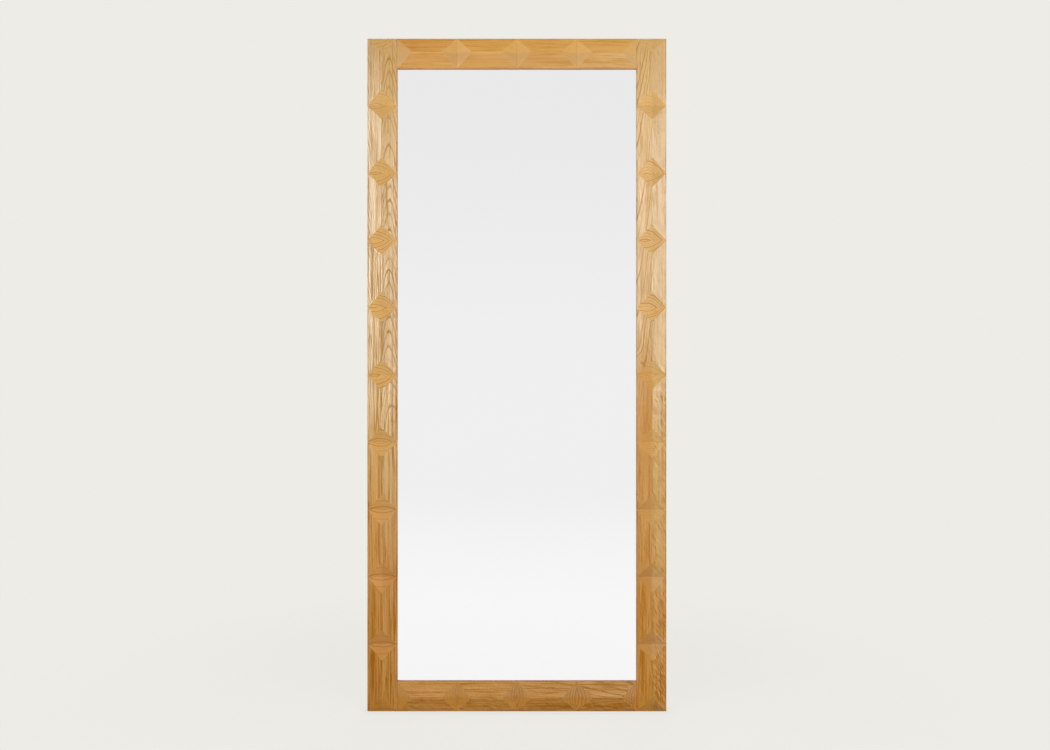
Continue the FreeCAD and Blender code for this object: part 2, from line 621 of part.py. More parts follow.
def draw_ring_spine(spine):
    """Bar, bend, leg, bow, leg, bend: lines and arcs that meet without a corner."""
    bar = bend = leg = 1
    bow = bar + bend
    drop = bend + leg
    normal = Vector(0, 0, 1)
    right_bend = Part.Circle(Vector(bar, -bend), normal, bend)
    left_bend = Part.Circle(Vector(-bar, -bend), normal, bend)
    bow_circle = Part.Circle(Vector(0, -drop), normal, bow)
    spine.addGeometry([
        Part.LineSegment(Vector(-bar, 0), Vector(bar, 0)),
        Part.ArcOfCircle(right_bend, 0, math.pi / 2),
        Part.LineSegment(Vector(bow, -bend), Vector(bow, -drop)),
        Part.ArcOfCircle(bow_circle, math.pi, 2 * math.pi),
        Part.LineSegment(Vector(-bow, -drop), Vector(-bow, -bend)),
        Part.ArcOfCircle(left_bend, math.pi / 2, math.pi),
    ])
    meetings = ((0, 2, 1, 2), (1, 1, 2, 1), (2, 2, 3, 2), (3, 1, 4, 1), (4, 2, 5, 2), (5, 1, 0, 1))
    for first, first_end, second, second_end in meetings:
        spine.addConstraint(Sketcher.Constraint("Coincident", first, first_end, second, second_end))
    pin_point(spine, 0, 1, (-bar, 0), (f"-{RING_BAR}", "0"))
    pin_point(spine, 0, 2, (bar, 0), (RING_BAR, "0"))
    pin_point(spine, 1, 3, (bar, -bend), (RING_BAR, "-dims.ring_bend"))
    pin_point(spine, 5, 3, (-bar, -bend), (f"-{RING_BAR}", "-dims.ring_bend"))
    pin_point(spine, 3, 3, (0, -drop), ("0", f"-{RING_DROP}"))
    pin_point(spine, 2, 2, (bow, -drop), (RING_RADIUS, f"-{RING_DROP}"))
    # The other ends of the arcs are level with their centres
    for arc, end, drawn, height in (
        (1, 1, -bend, "-dims.ring_bend"),
        (5, 2, -bend, "-dims.ring_bend"),
        (3, 1, -drop, f"-{RING_DROP}"),
    ):
        constrain(spine, Sketcher.Constraint("DistanceY", -1, 1, arc, end, drawn), height)


def make_pan_screws(label, position, axis, span, second=None):
    """Two pan head screws a span apart, or four with a second (axis, length)."""
    body = new_body(label, position)
    screw = turn(body, "screw", pan_screw_outline())
    repeat(body, screw, axis, span, "2", second)
    return body


for side, hardware_x in (("left", f"-{HARDWARE_X}"), ("right", HARDWARE_X)):
    strap = make_strap(f"hanger_strap_{side}", (hardware_x, BACK_Y, HANGER_HEIGHT))
    ring = make_ring(f"hanger_ring_{side}", (hardware_x, f"{BACK_Y} + {EYE_HEIGHT}", HANGER_HEIGHT))
    lower_screw = f"{HANGER_HEIGHT} - dims.strap_second_screw"
    screws = make_pan_screws(
        f"hanger_screws_{side}",
        (hardware_x, f"{BACK_Y} + 2 * dims.strap_metal", lower_screw),
        "Z_Axis",
        "dims.strap_second_screw - dims.strap_first_screw",
    )
    subparts += [strap, ring, screws]


# Wall bumpers: tapered rubber feet with a recess for their screw

BUMPER_SPAN = "dims.frame_height - 2 * dims.bumper_inset"


def make_bumper(label, position):
    body = new_body(label, position)
    base = "dims.bumper_diameter / 2"
    recess = "dims.bumper_recess / 2"
    hole = "dims.pan_screw_shank / 2 + dims.screw_clearance"
    turn(body, "rubber", [
        (base, "0"),
        (f"{base} - dims.bumper_taper", "dims.bumper_height"),
        (recess, "dims.bumper_height"),
        (recess, "dims.bumper_floor"),
        (hole, "dims.bumper_floor"),
        (hole, "0"),
    ])
    round_edges(body, is_outer_rim, "dims.bumper_rim")
    return body


def is_outer_rim(edge, rubber):
    """Whether a circular edge is the bumper's outer edge at the wall."""
    at_wall = math.isclose(edge.BoundBox.YMin, rubber.BoundBox.YMax, abs_tol=TOUCH)
    others = [other for other in rubber.Edges if other.BoundBox.YMin >= edge.BoundBox.YMax - TOUCH]
    return at_wall and edge.Length == max(other.Length for other in others)


for side, hardware_x in (("left", f"-{HARDWARE_X}"), ("right", HARDWARE_X)):
    for end, height in (("top", "dims.frame_height - dims.bumper_inset"), ("bottom", "dims.bumper_inset")):
        subparts.append(make_bumper(f"wall_bumper_{end}_{side}", (hardware_x, BACK_Y, height)))
subparts.append(make_pan_screws(
    "bumper_screws",
    (f"-{HARDWARE_X}", f"{BACK_Y} + dims.bumper_floor", "dims.bumper_inset"),
    "Z_Axis",
    BUMPER_SPAN,
    ("X_Axis", f"2 * {HARDWARE_X}"),
))

# Check every object, then write one file for each sub-part
doc.recompute()
for item in doc.Objects:
    if "Invalid" in item.State or "Error" in item.State:
        raise RuntimeError(f"{item.Label} failed: {item.State}")
for subpart in subparts:
    if subpart.Shape.isNull() or not subpart.Shape.isValid():
        raise RuntimeError(f"{subpart.Label} has no valid shape")
os.makedirs("parts", exist_ok=True)
for subpart in subparts:
    subpart.Shape.exportStep(f"parts/{subpart.Label}.step")
    box = subpart.Shape.BoundBox
    print(subpart.Label, len(subpart.Shape.Solids), round(subpart.Shape.Volume), box)
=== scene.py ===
import math
import random
from typing import NamedTuple

import bmesh
import bpy
from mathutils import Matrix, Vector


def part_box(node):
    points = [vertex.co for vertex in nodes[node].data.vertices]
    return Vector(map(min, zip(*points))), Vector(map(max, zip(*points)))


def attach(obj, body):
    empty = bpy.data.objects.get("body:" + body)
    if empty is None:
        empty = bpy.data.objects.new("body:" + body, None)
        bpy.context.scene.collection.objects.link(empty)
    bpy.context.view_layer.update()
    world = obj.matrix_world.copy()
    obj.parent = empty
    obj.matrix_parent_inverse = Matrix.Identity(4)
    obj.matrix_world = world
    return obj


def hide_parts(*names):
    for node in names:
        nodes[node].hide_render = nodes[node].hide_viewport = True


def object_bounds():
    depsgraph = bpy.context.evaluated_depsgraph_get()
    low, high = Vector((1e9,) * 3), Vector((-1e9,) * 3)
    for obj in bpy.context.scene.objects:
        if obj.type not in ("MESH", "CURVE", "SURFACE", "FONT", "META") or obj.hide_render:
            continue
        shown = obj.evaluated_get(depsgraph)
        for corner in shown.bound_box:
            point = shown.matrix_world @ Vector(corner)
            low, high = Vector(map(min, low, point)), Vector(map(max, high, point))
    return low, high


# Looks of a floor mirror with a carved oak frame, in metres. The front faces -Y and +Z is up.
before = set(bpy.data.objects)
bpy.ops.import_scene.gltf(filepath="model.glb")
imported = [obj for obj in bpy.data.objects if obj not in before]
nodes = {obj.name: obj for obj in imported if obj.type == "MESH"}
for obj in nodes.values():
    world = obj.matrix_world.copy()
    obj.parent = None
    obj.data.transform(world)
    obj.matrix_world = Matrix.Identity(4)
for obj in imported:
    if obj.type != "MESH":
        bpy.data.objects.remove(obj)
cad_box = [list(corner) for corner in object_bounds()]
frame_middle = sum((Vector(corner) for corner in cad_box), Vector()) / 2
scene = bpy.context.scene
scene.view_settings.view_transform = "Standard"


def srgb(red, green, blue):
    """A screen colour, 0 to 255, as a linear colour."""
    shares = [value / 255 for value in (red, green, blue)]
    linear = [share / 12.92 if share <= 0.04045 else ((share + 0.055) / 1.055) ** 2.4 for share in shares]
    return (*linear, 1.0)


def grey(value):
    return (value, value, value, 1.0)


class Graph:
    """Short calls that add and link the nodes of one node tree."""

    def __init__(self, tree):
        self.tree = tree

    def node(self, kind, inputs=None, **settings):
        made = self.tree.nodes.new(f"ShaderNode{kind}")
        for name, value in settings.items():
            setattr(made, name, value)
        for key, value in (inputs or {}).items():
            self.feed(made.inputs[key], value)
        return made

    def feed(self, socket, value):
        if isinstance(value, bpy.types.NodeSocket):
            self.tree.links.new(value, socket)
        else:
            socket.default_value = value

    def math(self, operation, *values):
        return self.node("Math", dict(enumerate(values)), operation=operation).outputs[0]

    def vector(self, operation, *values):
        made = self.node("VectorMath", dict(enumerate(values)), operation=operation)
        return made.outputs["Value" if operation in ("LENGTH", "DOT_PRODUCT") else "Vector"]

    def scale(self, vector, factor):
        return self.node("VectorMath", {0: vector, "Scale": factor}, operation="SCALE").outputs["Vector"]

    def combine(self, *values):
        return self.node("CombineXYZ", dict(enumerate(values))).outputs[0]

    def noise(self, place, per_metre, detail=2.0):
        """Noise from 0 to 1 with this many waves per metre along X, Y and Z."""
        scaled = self.vector("MULTIPLY", place, per_metre)
        return self.node("TexNoise", {"Vector": scaled, "Scale": 1.0, "Detail": detail}).outputs[0]

    def ramp(self, value, start, end, low=0.0, high=1.0, smooth=True):
        """A value that goes from low to high while another goes from start to end."""
        inputs = {"Value": value, "From Min": start, "From Max": end, "To Min": low, "To Max": high}
        kind = "SMOOTHSTEP" if smooth else "LINEAR"
        return self.node("MapRange", inputs, interpolation_type=kind).outputs["Result"]

    def blend(self, share, first, second, kind="MIX"):
        """Two colours, mixed by a share."""
        made = self.node("Mix", {0: share, 6: first, 7: second}, data_type="RGBA", blend_type=kind)
        return made.outputs[2]

    def stops(self, share, colours):
        """Colours (place from 0 to 1, colour) that follow each other smoothly."""
        made = self.node("ValToRGB", {0: share})
        made.color_ramp.interpolation = "EASE"
        elements = made.color_ramp.elements
        while len(elements) < len(colours):
            elements.new(0.5)
        for element, (place, colour) in zip(elements, colours):
            element.position = place
            element.color = colour
        return made.outputs["Color"]


# Edges are drawn paler, as wear and as a painted highlight on the ridges
WORN_AND_HIGHLIT_TURN = 0.9  # cosine of the turn at which an edge is fully worn


class Finish(Graph):
    """A material with one Principled shader."""

    def __init__(self, name, **constants):
        self.material = bpy.data.materials.new(name)
        self.material.use_nodes = True
        super().__init__(self.material.node_tree)
        self.shader = self.tree.nodes["Principled BSDF"]
        for key, value in constants.items():
            self.shader.inputs[key.replace("_", " ")].default_value = value
        self.place = self.node("TexCoord").outputs["Object"]

    def set(self, socket, value):
        self.feed(self.shader.inputs[socket], value)

    def bump(self, height, distance, strength=0.4):
        made = self.node("Bump", {"Height": height, "Distance": distance, "Strength": strength})
        self.set("Normal", made.outputs["Normal"])

    def worn_and_highlit_edges(self, radius):
        """From 0 on flat faces to 1 where the surface turns within the radius: worn edges, partly a painted
        highlight.
        """
        rounded = self.node("Bevel", {"Radius": radius}, samples=6).outputs["Normal"]
        flat = self.node("NewGeometry").outputs["True Normal"]
        return self.ramp(self.vector("DOT_PRODUCT", rounded, flat), 1.0, WORN_AND_HIGHLIT_TURN, smooth=False)


# Oak. Every board is cut from a log of its own: the growth rings are cylinders round a pith that lies
# behind the board, and the carved facets cut through them, which draws the arches and eyes.


class Board(NamedTuple):
    """Grain of one board. Pairs are for its low and its high part."""

    along: str
    change: tuple  # lengths between which the low part goes over into the high part
    pith: tuple  # across and behind the ridge
    slope: tuple  # of the rings, along the board
    spacing: tuple  # of the rings
    low_side: tuple  # (place along from 0 to 1, strength of ring lines, of streaks and of flecks)
    high_side: tuple
    # The tones are darker towards the floor
    low_tones: tuple  # (place along from 0 to 1, colour)
    high_tones: tuple
    ends: tuple  # facets across the grain: (place along from 0 to 1, tint, strength of ring lines)
    # The valley's dark line is painted shade in the crease
    valley: float = 0.2  # strength of the dark line at the bottom of a valley
    second_rings: float = 1.0  # strength of every second ring line on facets across the grain
    folds: tuple = ()  # (across, reach, depth) where the rings of the high part bulge
    eyes: tuple = ()  # (across, along, reach across, reach along, depth)


BOARDS = {
    "stile_left": Board(
        along="z",
        change=(0.50, 0.95),
        pith=((0.0, 0.26), (-0.021, 0.113)),
        slope=(0.0, 0.048),
        spacing=(0.0032, 0.0018),
        low_side=(
            (0.0, 1.0, 2.0, 0.5),
            (0.4, 1.0, 1.8, 0.5),
            (0.6, 0.9, 1.6, 0.4),
            (0.9, 0.6, 1.2, 0.4),
        ),
        high_side=(
            (0.0, 1.0, 1.6, 0.5),
            (0.4, 1.0, 1.5, 0.5),
            (0.6, 1.0, 1.1, 0.5),
            (0.9, 1.0, 1.1, 0.5),
        ),
        low_tones=(
            (0.0, (0.455, 0.182, 0.008, 1)),
            (0.28, (0.593, 0.29, 0.064, 1)),
            (0.38, (0.595, 0.325, 0.083, 1)),
            (0.5, (0.565, 0.335, 0.092, 1)),
            (1.0, (0.57, 0.345, 0.115, 1)),
        ),
        high_tones=(
            (0.0, (0.472, 0.21, 0.018, 1)),
            (0.2, (0.495, 0.222, 0.038, 1)),
            (0.36, (0.57, 0.335, 0.105, 1)),
            (0.6, (0.545, 0.33, 0.105, 1)),
            (1.0, (0.585, 0.345, 0.105, 1)),
        ),
        ends=(
            (0.0, (0.98, 0.95, 0.78, 1), 1.5),
            (0.3, (0.97, 0.91, 0.70, 1), 1.7),
            (0.42, (1.0, 0.93, 0.78, 1), 1.6),
            (0.53, (1.17, 1.11, 1.08, 1), 1.9),
            (0.65, (1.22, 1.19, 1.25, 1), 2.0),
            (0.9, (1.13, 1.09, 1.03, 1), 1.2),
        ),
        second_rings=0.25,
        folds=((0.018, 0.014, -0.0018),),
    ),
    "stile_right": Board(
        along="z",
        change=(0.75, 1.0),
        pith=((-0.006, 0.22), (-0.015, 0.120)),
        slope=(-0.02, -0.05),
        spacing=(0.0026, 0.0025),
        low_side=(
            (0.0, 0.4, 1.3, 0.6),
            (0.45, 0.2, 0.9, 0.5),
            (0.52, 1.0, 0.8, 0.4),
            (0.95, 1.0, 0.8, 0.4),
        ),
        high_side=(
            (0.0, 0.2, 0.9, 2.8),
            (0.45, 0.1, 0.7, 2.0),
            (0.55, 0.2, 0.5, 0.6),
            (1.0, 0.15, 0.5, 0.6),
        ),
        low_tones=(
            (0.0, (0.49, 0.206, 0.01, 1)),
            (0.15, (0.505, 0.217, 0.022, 1)),
            (0.3, (0.555, 0.267, 0.058, 1)),
            (0.45, (0.54, 0.255, 0.042, 1)),
            (0.58, (0.58, 0.335, 0.095, 1)),
            (1.0, (0.665, 0.41, 0.142, 1)),
        ),
        high_tones=(
            (0.0, (0.45, 0.192, 0.015, 1)),
            (0.12, (0.54, 0.255, 0.054, 1)),
            (0.25, (0.59, 0.33, 0.096, 1)),
            (0.5, (0.56, 0.325, 0.085, 1)),
            (0.8, (0.56, 0.326, 0.1, 1)),
            (1.0, (0.64, 0.385, 0.135, 1)),
        ),
        ends=(
            (0.1, (0.90, 0.92, 1.08, 1), 0.15),
            (0.2, (0.89, 0.88, 0.84, 1), 0.15),
            (0.3, (0.93, 0.91, 0.78, 1), 0.15),
            (0.42, (1.07, 1.09, 1.27, 1), 0.2),
            (0.65, (1.23, 1.29, 1.65, 1), 1.3),
            (0.8, (1.16, 1.19, 1.40, 1), 1.2),
            (0.9, (1.05, 1.02, 0.97, 1), 0.3),
        ),
        eyes=((-0.032, 0.935, 0.011, 0.020, 0.0045),),
    ),
    "rail_top": Board(
        along="x",
        change=(-0.3, 0.3),
        pith=((0.030, 0.10), (0.026, 0.09)),
        slope=(0.01, -0.01),
        spacing=(0.0024, 0.0024),
        low_side=((0.0, 0.3, 0.9, 0.3), (1.0, 0.2, 0.8, 0.3)),
        high_side=((0.0, 0.3, 0.9, 0.3), (1.0, 0.2, 0.8, 0.3)),
        low_tones=(
            (0.0, (0.59, 0.28, 0.053, 1)),
            (0.6, (0.61, 0.315, 0.076, 1)),
            (1.0, (0.655, 0.375, 0.115, 1)),
        ),
        high_tones=(
            (0.0, (0.63, 0.285, 0.047, 1)),
            (0.35, (0.70, 0.355, 0.068, 1)),
            (1.0, (0.72, 0.385, 0.088, 1)),
        ),
        ends=(
            (0.0, (0.86, 0.96, 1.06, 1), 0.0),
            (0.2, (0.95, 1.0, 1.12, 1), 0.0),
            (0.75, (0.96, 0.97, 0.97, 1), 0.0),
            (1.0, (0.91, 0.92, 0.90, 1), 0.0),
        ),
        valley=0.7,
    ),
    "rail_bottom": Board(
        along="x",
        change=(-0.3, 0.3),
        pith=((0.006, 0.20), (-0.004, 0.14)),
        slope=(-0.012, -0.045),
        spacing=(0.0028, 0.0030),
        low_side=((0.0, 0.6, 1.4, 1.4), (1.0, 0.6, 1.4, 1.4)),
        high_side=(
            (0.0, 0.5, 1.1, 0.8),
            (0.55, 0.8, 1.2, 0.8),
            (0.75, 1.0, 1.3, 0.8),
            (1.0, 1.0, 1.3, 0.8),
        ),
        low_tones=((0.0, (0.447, 0.184, 0.009, 1)), (1.0, (0.465, 0.203, 0.02, 1))),
        high_tones=((0.0, (0.482, 0.22, 0.036, 1)), (1.0, (0.485, 0.244, 0.062, 1))),
        ends=(
            (0.0, (0.97, 0.97, 1.0, 1), 0.3),
            (0.4, (1.0, 0.99, 1.0, 1), 0.9),
            (1.0, (1.01, 1.0, 1.0, 1), 0.9),
        ),
        valley=0.5,
    ),
}

# Tints of the grain, of worn edges with a painted highlight, and of painted shade along edges and in
# valleys
DARK_TINT = (0.76, 0.70, 0.58, 1.0)
LIGHT_TINT = (1.23, 1.32, 1.58, 1.0)
LINE_TINT = (0.72, 0.58, 0.32, 1.0)
PORE_TINT = (0.52, 0.40, 0.30, 1.0)
WEAR_AND_HIGHLIGHT_TINT = (1.22, 1.34, 1.7, 1.0)
PAINTED_EDGE_SHADE_TINT = (0.78, 0.70, 0.58, 1.0)

# Waves per metre across, in depth and along the board
CLOUDS = (22, 22, 1.5)
THREADS = (210, 50, 3.0)
BANDS = (330, 100, 3.0)
FLECKS = (240, 150, 45)
FIBRES = (650, 250, 20)
CELLS = (1500, 1500, 130)
STREAKS = (900, 160, 4)  # outwards in the log, across and along the board
SWAYS = (((14, 14, 3.5), 0.0045), ((70, 70, 12), 0.0012))  # with their reach in metres
FLECK_SLANT = 0.5

# How much the grain shows. Pairs are for facets along the grain and for those across it.
CLOUD_WEIGHT = 0.4
FIBRE_WEIGHT = 0.8
STREAK_WEIGHTS = (0.25, 0.3)
THREAD_WEIGHTS = (0.65, 0.0)
THREAD_WIDTH = 0.06
LINE_WIDTHS = (0.35, 0.6)
LINE_START = 0.9  # share of a ring at which the line of the next one sets in
OWN_STRENGTHS = (0.3, 1.0)  # of the weakest and the strongest ring line
WEAKER_SHARE = 0.7  # of the ring lines, the rest have the full strength
PORE_SHARE = 0.6
PORE_CELLS = (0.6, 0.7)  # noise between which a pore opens
PORES_OFF_LINES = 0.3  # share of a pore that shows between ring lines
WEAR_AND_HIGHLIGHT_SHARE = 0.7
WEAR_AND_HIGHLIGHT_RADIUS = 0.002
END_SHEEN = 0.45
LINE_SHEEN = 0.15
SHEEN = (0.2, 0.8, 0.1, 1.0)  # two shades of the grain, and the sheen that each has
ROUGHNESS = (0.1, 0.9, 0.31, 0.25)  # two shades of the grain, and the roughness that each has
PORE_ROUGHNESS = 0.2
PORE_DEPTH = 0.0001
FIBRE_HEIGHT = 0.3  # as a share of a pore's depth

SLOPE_BEND = 0.3  # length over which the slope of the rings changes
SIDE_CHANGE = (-0.004, 0.006)  # places across between which one side goes over into the other
END_FACING = (0.1, 0.25)  # how far a facet along the grain and one across it face along the board
# Reaches of the painted shade along the long edges and in the valleys
ARRIS_REACH = (0.0035, 0.0005)  # from a long edge
VALLEY_REACH = (0.0003, 0.0014)  # from the bottom of a valley
OUTER_FACING = (0.5, 0.9)  # how far a facet of the front and the outer face look outwards
BLOCKS = {"z": 10, "x": 4}  # carved blocks of an upright and of a cross board


class Oak(Finish):
    """The finish of one board. Its places run across, in depth and along, so that all boards grow alike."""

    def __init__(self, name):
        super().__init__(f"oak_{name}", IOR=1.54)
        self.board = BOARDS[name]
        self.low, self.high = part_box(name)
        self.middle = (self.low + self.high) / 2
        self.along = self.board.along
        self.across = "x" if self.along == "z" else "z"
        axes = dict(zip("xyz", self.node("SeparateXYZ", {0: self.place}).outputs))
        self.length = axes[self.along]
        self.side = self.math("SUBTRACT", axes[self.across], getattr(self.middle, self.across))
        self.depth = self.math("SUBTRACT", axes["y"], self.low.y)
        self.place = self.combine(self.side, self.depth, self.length)
        self.start, self.end = (getattr(corner, self.along) for corner in (self.low, self.high))
        self.share = self.ramp(self.length, self.start, self.end, smooth=False)
        self.on_high_side = self.ramp(self.side, *SIDE_CHANGE)
        normal = self.node("NewGeometry").outputs["True Normal"]
        self.facing = dict(zip("xyz", self.node("SeparateXYZ", {0: normal}).outputs))
        self.end_grain = self.ramp(self.math("ABSOLUTE", self.facing[self.along]), *END_FACING)

    def facets(self, along_grain, across_grain):
        """One value on facets along the grain and another on those across it."""
        return self.ramp(self.end_grain, 0, 1, along_grain, across_grain, smooth=False)

    def hump(self, squared):
        """A bell curve over the square of a distance."""
        return self.math("EXPONENT", self.math("MULTIPLY", squared, -1.0))

    def ring_field(self):
        """How far out in its log a point of the board lies, in metres and in growth rings."""
        board = self.board
        part = self.ramp(self.length, *board.change)
        pith = self.combine(*(self.ramp(part, 0, 1, *pair, smooth=False) for pair in zip(*board.pith)))
        radius = self.vector("LENGTH", self.vector("SUBTRACT", self.combine(self.side, self.depth), pith))
        field = self.math("SUBTRACT", radius, self.vector("LENGTH", pith))

        past = self.math("SUBTRACT", self.length, sum(board.change) / 2)
        past = self.math("SMOOTH_MAX", past, 0.0, SLOPE_BEND)
        low_slope, high_slope = board.slope
        field = self.math("MULTIPLY_ADD", self.length, low_slope, field)
        field = self.math("MULTIPLY_ADD", past, high_slope - low_slope, field)

        for across, reach, bulge in board.folds:
            off = self.math("DIVIDE", self.math("SUBTRACT", self.side, across), reach)
            fold = self.math("MULTIPLY", self.hump(self.math("MULTIPLY", off, off)), part)
            field = self.math("MULTIPLY_ADD", fold, bulge, field)
        for across, along, reach_across, reach_along, bulge in board.eyes:
            off = self.vector("SUBTRACT", self.combine(self.side, self.length), (across, along, 0.0))
            off = self.vector("DIVIDE", off, (reach_across, reach_along, 1.0))
            eye = self.hump(self.vector("DOT_PRODUCT", off, off))
            field = self.math("MULTIPLY_ADD", eye, bulge, field)
        for per_metre, reach in SWAYS:
            sway = self.math("SUBTRACT", self.noise(self.place, per_metre), 0.5)
            field = self.math("MULTIPLY_ADD", sway, reach, field)

        spacing = self.ramp(part, 0, 1, *board.spacing, smooth=False)
        return field, self.math("DIVIDE", field, spacing)

    def side_strengths(self):
        """Strengths of ring lines, streaks and flecks, from the rows of both sides."""
        sides = []
        for rows in (self.board.low_side, self.board.high_side):
            strengths = self.stops(self.share, [(at, (*values, 1)) for at, *values in rows])
            sides.append(self.node("SeparateColor", {0: strengths}).outputs)
        return [self.ramp(self.on_high_side, 0, 1, *pair, smooth=False) for pair in zip(*sides)]

    def ring_lines(self, rings, face_strength):
        """A dark line where each ring starts, with a strength of its own."""
        part = self.math("FRACT", rings)
        fade = self.ramp(part, 0.0, self.facets(*LINE_WIDTHS), 1.0, 0.0)
        onset = self.ramp(part, LINE_START, 1.0)
        number = self.math("FLOOR", self.math("ADD", rings, 1.0 - LINE_START))
        own = self.node("TexWhiteNoise", {"W": number}, noise_dimensions="1D").outputs["Value"]
        second = self.ramp(self.math("PINGPONG", number, 1.0), 0, 1, 1.0, self.board.second_rings)
        end_strength = self.stops(self.share, [(at, grey(lines)) for at, _, lines in self.board.ends])
        strength = self.facets(face_strength, self.math("MULTIPLY", end_strength, second))
        strength = self.math("MULTIPLY", strength, self.ramp(own, 0.0, WEAKER_SHARE, *OWN_STRENGTHS))
        return self.math("MULTIPLY", self.math("MAXIMUM", fade, onset), strength)

    def thread_lines(self, strength):
        """Fine dark lines along the board."""
        threads = self.noise(self.place, THREADS, detail=1.0)
        off = self.math("ABSOLUTE", self.math("SUBTRACT", threads, 0.5))
        return self.math("MULTIPLY", self.ramp(off, 0.0, THREAD_WIDTH, 1.0, 0.0), strength)

    def shaded_edges(self):
        """Painted shade along the board's long edges, apart from the outer face, and in its valleys."""
        half_width = (getattr(self.high, self.across) - getattr(self.low, self.across)) / 2
        far, near = ARRIS_REACH
        arris = self.ramp(self.math("ABSOLUTE", self.side), half_width - far, half_width - near)
        outward = math.copysign(1.0, getattr(self.middle - frame_middle, self.across))
        facing_out = self.math("MULTIPLY", self.facing[self.across], outward)
        arris = self.math("MULTIPLY", arris, self.ramp(facing_out, *OUTER_FACING, 1.0, 0.0))

        pitch = (self.end - self.start) / BLOCKS[self.along]
        blocks = self.math("DIVIDE", self.math("SUBTRACT", self.length, self.start), pitch)
        off = self.math("MULTIPLY", self.math("PINGPONG", blocks, 0.5), pitch)
        valley = self.ramp(off, *VALLEY_REACH, self.board.valley, 0.0)
        return self.math("MAXIMUM", arris, self.math("MULTIPLY", valley, self.end_grain))


def oak(name):
    """The material of one board."""
    finish = Oak(name)
    board = finish.board
    place, side, depth, length = finish.place, finish.side, finish.depth, finish.length

    field, rings = finish.ring_field()
    line_strength, streak_strength, fleck_strength = finish.side_strengths()
    streak_weight = finish.math("MULTIPLY", streak_strength, finish.facets(*STREAK_WEIGHTS))
    thread_weight = finish.math("MULTIPLY", streak_strength, finish.facets(*THREAD_WEIGHTS))
    line = finish.ring_lines(rings, line_strength)
    line = finish.math("MAXIMUM", line, finish.thread_lines(thread_weight))
    line = finish.math("MINIMUM", line, 1.0)

    fibres = finish.noise(place, FIBRES)
    cells = finish.noise(place, CELLS, detail=1.0)
    more_in_lines = finish.ramp(line, 0.0, 1.0, PORES_OFF_LINES, 1.0, smooth=False)
    pores = finish.math("MULTIPLY", finish.ramp(cells, *PORE_CELLS), more_in_lines)
    follow = finish.combine(field, side, length)
    slanted = finish.combine(finish.math("MULTIPLY_ADD", length, FLECK_SLANT, side), depth, length)
    shade = 0.5
    for grain, weight in (
        (finish.noise(place, CLOUDS), CLOUD_WEIGHT),
        (finish.noise(follow, STREAKS, detail=1.0), streak_weight),
        (finish.noise(place, BANDS), thread_weight),
        (finish.noise(slanted, FLECKS), fleck_strength),
        (fibres, FIBRE_WEIGHT),
    ):
        shade = finish.math("MULTIPLY_ADD", finish.math("SUBTRACT", grain, 0.5), weight, shade)

    tones = [finish.stops(finish.share, rows) for rows in (board.low_tones, board.high_tones)]
    colour = finish.blend(finish.on_high_side, *tones)
    end_tint = finish.stops(finish.share, [(at, tint) for at, tint, _ in board.ends])
    # Tints of the grain and pores, worn edges with a painted highlight, and painted shade along the edges
    # and in the valleys
    for amount, tint in (
        (finish.end_grain, end_tint),
        (1.0, finish.blend(shade, DARK_TINT, LIGHT_TINT)),
        (line, LINE_TINT),
        (finish.math("MULTIPLY", pores, PORE_SHARE), PORE_TINT),
        (finish.math("MULTIPLY", finish.worn_and_highlit_edges(WEAR_AND_HIGHLIGHT_RADIUS), WEAR_AND_HIGHLIGHT_SHARE), WEAR_AND_HIGHLIGHT_TINT),
        (finish.shaded_edges(), PAINTED_EDGE_SHADE_TINT),
    ):
        colour = finish.blend(amount, colour, tint, "MULTIPLY")
    finish.set("Base Color", colour)

    # Pale grain is smooth and shines, lines and pores are dull
    sheen = finish.ramp(shade, *SHEEN, smooth=False)
    sheen = finish.math("MULTIPLY", sheen, finish.ramp(line, 0.0, 1.0, 1.0, LINE_SHEEN, smooth=False))
    finish.set("Specular IOR Level", finish.facets(sheen, END_SHEEN))
    rough = finish.ramp(shade, *ROUGHNESS, smooth=False)
    finish.set("Roughness", finish.math("MULTIPLY_ADD", pores, PORE_ROUGHNESS, rough))
    height = finish.math("SUBTRACT", finish.math("MULTIPLY", fibres, FIBRE_HEIGHT), pores)
    finish.bump(height, PORE_DEPTH)
    return finish.material


def dress(node, material):
    """Put a material on every slot of a CAD node."""
    mesh = nodes[node].data
    if not mesh.materials:
        mesh.materials.append(material)
    for index in range(len(mesh.materials)):
        mesh.materials[index] = material


for board in BOARDS:
    dress(board, oak(board))


# Silvered glass


def silvered_glass():
    finish = Finish("silvered_glass", Metallic=1.0)
    cloud = finish.noise(finish.place, (3, 3, 3), detail=3.0)
    finish.set("Base Color", finish.blend(cloud, grey(0.95), grey(0.96)))
    finish.set("Roughness", finish.ramp(cloud, 0.3, 0.7, 0.004, 0.015))
    return finish.material


dress("mirror_glass", silvered_glass())


# Plain finishes of the pieces behind and inside the frame


def speckled(name, first, second, per_metre, rough, bump, **constants):
    """A finish with two tones, a range of roughness and a bump in metres that follow one noise."""
    finish = Finish(name, **constants)
    grain = finish.noise(finish.place, per_metre, detail=4.0)
    finish.set("Base Color", finish.blend(finish.ramp(grain, 0.25, 0.75), first, second))
    finish.set("Roughness", finish.ramp(grain, 0.3, 0.7, *rough))
    finish.bump(grain, bump)
    return finish.material


